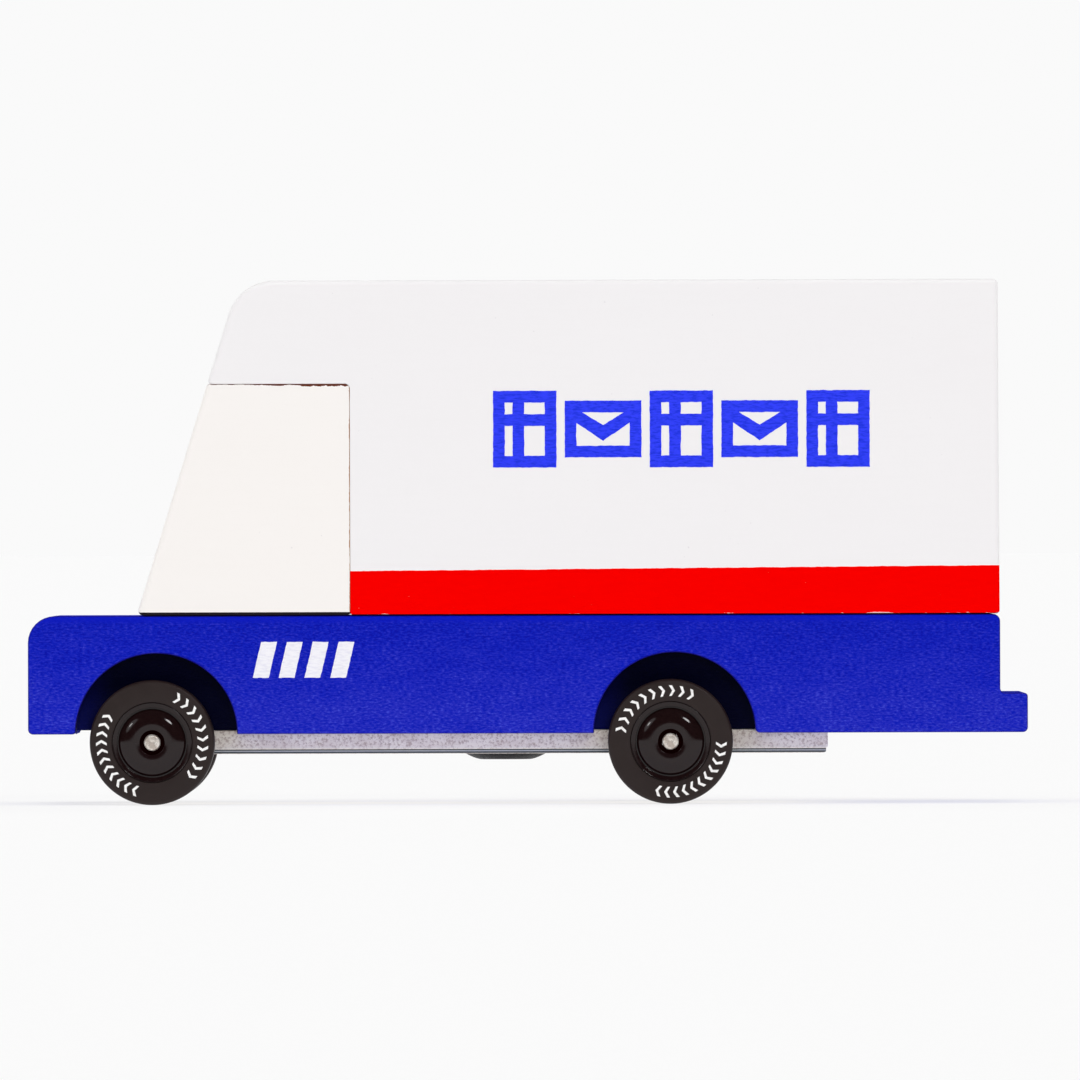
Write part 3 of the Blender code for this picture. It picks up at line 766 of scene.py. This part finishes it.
def make_chassis_plate():
    """Two stacked slabs with a boss under the middle screw."""
    low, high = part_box("chassis_plate")
    screw_low, screw_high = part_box("chassis_screw_centre")
    slab_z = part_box("chassis_screw_front")[0].z
    split_z = slab_z + LOWER_SLAB_HEIGHT

    def slab(name, inside, bottom_z, top_z):
        corners = [
            (low.x + inside, bottom_z, PLATE_CORNER, PLATE_RIM),
            (low.x + inside, top_z, PLATE_CORNER, PLATE_RIM),
            (high.x - inside, top_z, PLATE_CORNER, PLATE_RIM),
            (high.x - inside, bottom_z, PLATE_CORNER, PLATE_RIM),
        ]
        return block(name, corners, high.y - inside, PLATE_RIM)

    plate = slab("chassis_plate_finish", 0, split_z, high.z)
    combine(plate, slab("tool", LOWER_SLAB_INSET, slab_z, split_z + LOWER_SLAB_HEIGHT), "UNION")
    boss = link_mesh("tool", turned("tool", boss_profile(split_z, slab_z, low.z)))
    boss.location = ((screw_low.x + screw_high.x) / 2, 0, 0)
    bpy.context.view_layer.update()
    combine(plate, boss, "UNION")
    for axle, place in AXLES.items():
        radius = (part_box(f"{axle}_axle")[1].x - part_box(f"{axle}_axle")[0].x) / 2 + AXLE_CLEARANCE
        reach = high.y + CUT_MARGIN
        combine(plate, cylinder_tool(radius, (place.x, -reach, place.z), (place.x, reach, place.z)))
    for name in ("front", "centre", "rear"):
        make_room_for(plate, f"chassis_screw_{name}")
    shade_round(plate)
    dress(plate, "chassis_plate", "truck", silver_casting(split_z, slab_z))


def boss_profile(top_z, foot_z, flat_z):
    """A flat foot with flared sides that run out into the plate."""
    spread = BOSS_FOOT_RADIUS - BOSS_FLAT_RADIUS
    inward = [math.sin(math.radians(angle)) for angle in range(0, 91, 10)]
    flare = [
        (BOSS_FOOT_RADIUS - spread * share, flat_z + (foot_z - flat_z) * (1 - share) ** BOSS_FLARE)
        for share in inward
    ]
    return [(0, top_z), (BOSS_FOOT_RADIUS, top_z), *flare, (0, flat_z)]


def dress_cad_pieces():
    """The dowels and screws keep their CAD shapes."""
    wood, metal = bare_wood(), steel()
    for name, node in frame["nodes"].items():
        if "dowel" in name:
            node.material_slots[0].material = wood
        elif "screw" in name:
            node.material_slots[0].material = metal


# Wheels


def tyre_mesh(radius, side):
    bore = RIM_RADIUS + PRESS_GAP
    bead_bore = BARREL_RADIUS + PRESS_GAP
    bead_side = side - RIM_RECESS - RIM_FLANGE - PRESS_GAP
    outer_half = [
        (bead_bore, bead_side, 0),
        (bore, bead_side, 0),
        (bore, side, TINY_ROUND),
        (radius, side, TYRE_SHOULDER),
    ]
    corners = outer_half + [(r, -z, rounding) for r, z, rounding in reversed(outer_half)]
    return turned("tyre", [tuple(point) for point in rounded_outline(corners)], steps=128)


def hub_mesh(side, dome_top, boss_end, bore):
    rim_face = side - RIM_RECESS
    flange_inside = rim_face - RIM_FLANGE
    dome_foot = dome_top - DOME_DROP
    groove_radius = DOME_RADIUS + DOME_GROOVE
    dome = [
        (
            DOME_FLAT_RADIUS + (DOME_RADIUS - DOME_FLAT_RADIUS) * math.sin(math.radians(angle)),
            dome_foot + DOME_DROP * math.cos(math.radians(angle)),
            0,
        )
        for angle in range(0, 91, 6)
    ]
    corners = [
        (bore, dome_top - PIN_RECESS_DEPTH, 0),
        (PIN_RECESS_RADIUS, dome_top - PIN_RECESS_DEPTH, 0),
        (PIN_RECESS_RADIUS, dome_top, TINY_ROUND),
        *dome,
        (groove_radius, dome_foot, 0),
        (groove_radius, rim_face, TINY_ROUND),
        (RIM_RADIUS - RIM_LIP_WIDTH, rim_face, TINY_ROUND),
        (RIM_RADIUS - TINY_ROUND, rim_face + RIM_LIP, TINY_ROUND),
        (RIM_RADIUS, rim_face, 0),
        (RIM_RADIUS, flange_inside, 0),
        (BARREL_RADIUS, flange_inside, 0),
        (BARREL_RADIUS, -flange_inside, 0),
        (RIM_RADIUS, -flange_inside, 0),
        (RIM_RADIUS, -rim_face, TINY_ROUND),
        (WEB_RADIUS, -rim_face, TINY_ROUND),
        (WEB_RADIUS, -HUB_WEB_INSIDE, 0),
        (HUB_BOSS_RADIUS, -HUB_WEB_INSIDE, 0),
        (HUB_BOSS_RADIUS, boss_end, 0),
        (bore, boss_end, 0),
    ]
    return turned("hub", [tuple(point) for point in rounded_outline(corners, steps=4)], steps=128)


def axle_mesh(radius, half_length):
    corners = [
        (0, half_length, 0),
        (radius, half_length, PIN_END_RADIUS),
        (radius, -half_length, PIN_END_RADIUS),
        (0, -half_length, 0),
    ]
    return turned("axle", [tuple(point) for point in rounded_outline(corners)], steps=64)


def facing_side(direction):
    """Turns +Z to face out of the truck's left or right side, with +Y up."""
    outward = Matrix.Rotation(math.radians(90), 4, "X")
    return outward if direction < 0 else Matrix.Rotation(math.pi, 4, "Z") @ outward


def make_wheelsets():
    tyre_low, tyre_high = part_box("front_right_tyre")
    hub_low, hub_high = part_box("front_right_hub")
    axle_low, axle_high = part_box("front_axle")
    middle_y = (tyre_low.y + tyre_high.y) / 2
    side = (tyre_high.y - tyre_low.y) / 2
    dome_top = hub_high.y - middle_y
    rubber, plastic, metal, ink = black_rubber(), black_plastic(dome_top), steel(), tyre_ink()
    axle_radius = (axle_high.z - axle_low.z) / 2
    tyre = tyre_mesh((tyre_high.z - tyre_low.z) / 2, side)
    hub = hub_mesh(side, dome_top, hub_low.y - middle_y, axle_radius + PRESS_GAP)
    axle = axle_mesh(axle_radius, axle_high.y)
    marks = chevron_mesh(side)
    for end, place in AXLES.items():
        body = f"{end}_wheelset"
        turn = Matrix.Rotation(REAR_WHEEL_TURN if end == "rear" else 0, 4, "Z")
        rod = link_mesh(f"{end}_axle_finish", axle.copy())
        rod.matrix_world = Matrix.Translation(place) @ facing_side(-1)
        dress(rod, f"{end}_axle", body, metal)
        for side_name, direction in SIDES.items():
            centre = place + Vector((0, direction * middle_y, 0))
            here = Matrix.Translation(centre) @ facing_side(direction)
            for piece, mesh, slot, material in (
                ("tyre", tyre, "black_rubber", rubber),
                ("hub", hub, "black_plastic", plastic),
            ):
                obj = link_mesh(f"{end}_{side_name}_{piece}_finish", mesh.copy())
                obj.data.transform(turn)
                obj.matrix_world = here
                dress(obj, f"{end}_{side_name}_{piece}", body, material)
            turned_marks = marks.copy()
            turned_marks.transform(turn)
            print_on(f"{end}_{side_name}_tyre_print", turned_marks, here, body, ink)


# Prints


def rough_loop(loop, jitter):
    """A closed loop of points with its sides cut short and shaken a little, as the edge of ink on wood."""
    rough = []
    for start, end in zip(loop, loop[1:] + loop[:1]):
        start, end = Vector(start), Vector(end)
        count = max(1, round((end - start).length / PRINT_STEP))
        for i in range(count):
            point = start.lerp(end, i / count)
            shake = noise.noise_vector(Vector((point.x, point.y, 0)) / (2 * PRINT_STEP))
            rough.append((point.x + shake.x * jitter, point.y + shake.y * jitter))
    return rough


def filled(name, loops):
    """A thin flat mesh bounded by loops. A loop inside another is a hole."""
    curve = bpy.data.curves.new(name, "CURVE")
    curve.dimensions = "2D"
    curve.fill_mode = "BOTH"
    curve.extrude = PRINT_THICKNESS / 2
    for loop in loops:
        spline = curve.splines.new("POLY")
        spline.points.add(len(loop) - 1)
        for point, place in zip(spline.points, loop):
            point.co = (*place, 0.0, 1.0)
        spline.use_cyclic_u = True
    flat = bpy.data.objects.new(name, curve)
    bpy.context.scene.collection.objects.link(flat)
    graph = bpy.context.evaluated_depsgraph_get()
    mesh = bpy.data.meshes.new_from_object(flat.evaluated_get(graph))
    bpy.data.objects.remove(flat)
    welded = bmesh.new()
    welded.from_mesh(mesh)
    bmesh.ops.remove_doubles(welded, verts=welded.verts, dist=PRINT_MERGE_DISTANCE)
    return mesh_from(welded, name)


def print_on(name, mesh, place, body, ink):
    obj = link_mesh(name, mesh.copy())
    obj.matrix_world = place
    obj.data.materials.clear()
    obj.data.materials.append(ink)
    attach(obj, body)


def rectangle(low_x, low_y, high_x, high_y):
    return [(low_x, low_y), (high_x, low_y), (high_x, high_y), (low_x, high_y)]


def parcel_loops(x):
    """A parcel tied with string, which crosses above the middle and left of it."""
    width, height = PARCEL
    left, right, foot, top = x - width / 2, x + width / 2, -height / 2, height / 2
    line = PICTOGRAM_STROKE
    tie_x, tie_z = left + 0.4 * width, top - 0.38 * height
    panes = [
        (span_x, span_z)
        for span_x in ((left + line, tie_x - line / 2), (tie_x + line / 2, right - line))
        for span_z in ((foot + line, tie_z - line / 2), (tie_z + line / 2, top - line))
    ]
    loops = [rectangle(low_x, low_z, high_x, high_z) for (low_x, high_x), (low_z, high_z) in panes]
    return [rectangle(left, foot, right, top), *loops]


def envelope_loops(x):
    """A closed envelope seen from the back, with its flap as a V."""
    width, height = ENVELOPE
    left, right, foot, top = x - width / 2, x + width / 2, -height / 2, height / 2
    line = PICTOGRAM_STROKE
    shoulder = top - 1.9 * line
    body = [
        (left + line, foot + line),
        (right - line, foot + line),
        (right - line, shoulder),
        (x, -line),
        (left + line, shoulder),
    ]
    flap = [(left + 1.5 * line, top - line), (x, 0.35 * line), (right - 1.5 * line, top - line)]
    return [rectangle(left, foot, right, top), body, flap]


def make_pictograms(ink):
    """Plain parcels and envelopes in a row, in the place of the original lettering."""
    drawings = [(parcel_loops, PARCEL), (envelope_loops, ENVELOPE)]
    row = [drawings[i % 2] for i in range(PICTOGRAM_COUNT)]
    length = sum(size[0] for _, size in row) + PICTOGRAM_GAP * (len(row) - 1)
    loops = []
    x = -length / 2
    for draw, (width, _) in row:
        loops += [rough_loop(loop, PRINT_JITTER) for loop in draw(x + width / 2)]
        x += width + PICTOGRAM_GAP
    mesh = filled("pictograms", loops)
    side_print("pictograms", mesh, PICTOGRAM_CENTRE, "cargo_box", ink)


def make_bars(ink):
    """Slanted bars in the place of the original number."""
    width, height = BAR_SIZE
    loops = []
    for i in range(BAR_COUNT):
        x = (i - (BAR_COUNT - 1) / 2) * BAR_PITCH
        foot, top = x - BAR_SLANT / 2, x + BAR_SLANT / 2
        bar = [
            (foot - width / 2, -height / 2),
            (foot + width / 2, -height / 2),
            (top + width / 2, height / 2),
            (top - width / 2, height / 2),
        ]
        loops.append(rough_loop(bar, PRINT_JITTER))
    side_print("bars", filled("bars", loops), BARS_CENTRE, "lower_body", ink)


def side_print(name, mesh, centre, node, ink):
    for side, direction in SIDES.items():
        y = direction * (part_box(node)[1].y + PRINT_THICKNESS / 2)
        place = Matrix.Translation((centre[0], y, centre[1])) @ facing_side(direction)
        print_on(f"{name}_{side}", mesh, place, "truck", ink)


def chevron_mesh(side):
    """Two runs of chevrons round a sidewall."""
    back, front, half = -CHEVRON_HALF_DEPTH, CHEVRON_HALF_DEPTH, CHEVRON_HALF_HEIGHT
    drawing = [
        (back, half),
        (back + CHEVRON_STROKE, half),
        (front, 0),
        (back + CHEVRON_STROKE, -half),
        (back, -half),
        (front - CHEVRON_STROKE, 0),
    ]
    loops = []
    for start, end, count in CHEVRON_RUNS:
        for i in range(count):
            middle = math.radians(start + (end - start) * i / (count - 1))
            loop = []
            for along, out in drawing:
                angle = middle - along / CHEVRON_RADIUS
                radius = CHEVRON_RADIUS + out
                loop.append((radius * math.cos(angle), radius * math.sin(angle)))
            loops.append(loop)
    mesh = filled("chevrons", loops)
    mesh.transform(Matrix.Translation((0, 0, side + PRINT_THICKNESS / 2)))
    return mesh


def tyre_ink():
    return print_ink("tyre_ink", (0.95, 0.94, 0.93), (0.80, 0.79, 0.78))


def make_prints():
    # Unseeded, noise_vector starts from the clock, and the prints' edges would change from run to run.
    noise.seed_set(PRINT_SEED)
    make_pictograms(print_ink("blue_ink", (0.030, 0.050, 0.93), (0.010, 0.030, 0.72)))
    make_bars(print_ink("white_ink", (0.90, 0.89, 0.94), (0.80, 0.79, 0.88)))


# Stage


def make_floor():
    """A pale floor that glows a little, so that it meets the backdrop without a line."""
    shape = bmesh.new()
    bmesh.ops.create_circle(shape, cap_ends=True, segments=64, radius=FLOOR_RADIUS)
    floor = link_mesh("floor", mesh_from(shape, "floor"))
    floor.location.z = cad_bounds[0].z
    paper = Finish("floor_paper")
    tooth = paper.noise(2 * MM, detail=2)
    floor.data.materials.append(
        paper.done(
            Base_Color=paper.mix(tooth, (0.26, 0.26, 0.26), (0.28, 0.28, 0.28)),
            Roughness=0.9,
            Specular_IOR_Level=0.0,
            Emission_Color=(1.0, 1.0, 1.0, 1.0),
            Emission_Strength=0.70,
        )
    )


def make_backdrop():
    """White to the camera and bright along the horizon, but dark higher up for the gloss to reflect."""
    world = bpy.data.worlds.new("studio")
    world.use_nodes = True
    bpy.context.scene.world = world
    sky = NodeTree(world.node_tree, "Generated")
    mirrored = sky.step(sky.axis("Z"), 0.0, 0.05, BACKDROP, 0.03)
    glossy = sky.node("ShaderNodeLightPath", {}, "Is Glossy Ray")
    to_camera = sky.node("ShaderNodeLightPath", {}, "Is Camera Ray")
    reflected = sky.node("ShaderNodeCombineXYZ", {axis: mirrored for axis in range(3)})
    colour = sky.mix(glossy, (SOFT_LIGHT,) * 3, reflected)
    colour = sky.mix(to_camera, colour, (BACKDROP,) * 3)
    sky.set(sky.nodes["Background"].inputs["Color"], colour)


def make_light(name, toward, energy, angle, in_reflections):
    """A soft distant light, from the direction given."""
    light = bpy.data.lights.new(name, "SUN")
    light.energy = energy
    light.angle = math.radians(angle)
    lamp = bpy.data.objects.new(name, light)
    lamp.visible_glossy = in_reflections
    lamp.rotation_euler = Vector(toward).to_track_quat("Z", "Y").to_euler()
    bpy.context.scene.collection.objects.link(lamp)


def make_camera():
    camera = bpy.data.cameras.new("camera")
    to_near_side = -CAMERA_PLACE[1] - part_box("cargo_box")[1].y
    camera.lens = camera.sensor_width * to_near_side / VIEW_WIDTH
    camera.clip_start = 0.1
    camera.clip_end = 2 * FLOOR_RADIUS
    obj = bpy.data.objects.new("camera", camera)
    obj.location = CAMERA_PLACE
    obj.rotation_euler = (math.radians(90), CAMERA_ROLL, 0)
    bpy.context.scene.collection.objects.link(obj)
    bpy.context.scene.camera = obj


def make_stage():
    make_floor()
    make_backdrop()
    for name, toward, energy, angle, in_reflections in LIGHTS:
        make_light(name, toward, energy, angle, in_reflections)
    make_camera()
    bpy.context.scene.view_settings.view_transform = "Standard"


make_lower_body()
make_cab_block()
make_cargo_box()
make_chassis_plate()
dress_cad_pieces()
make_wheelsets()
make_prints()
make_stage()
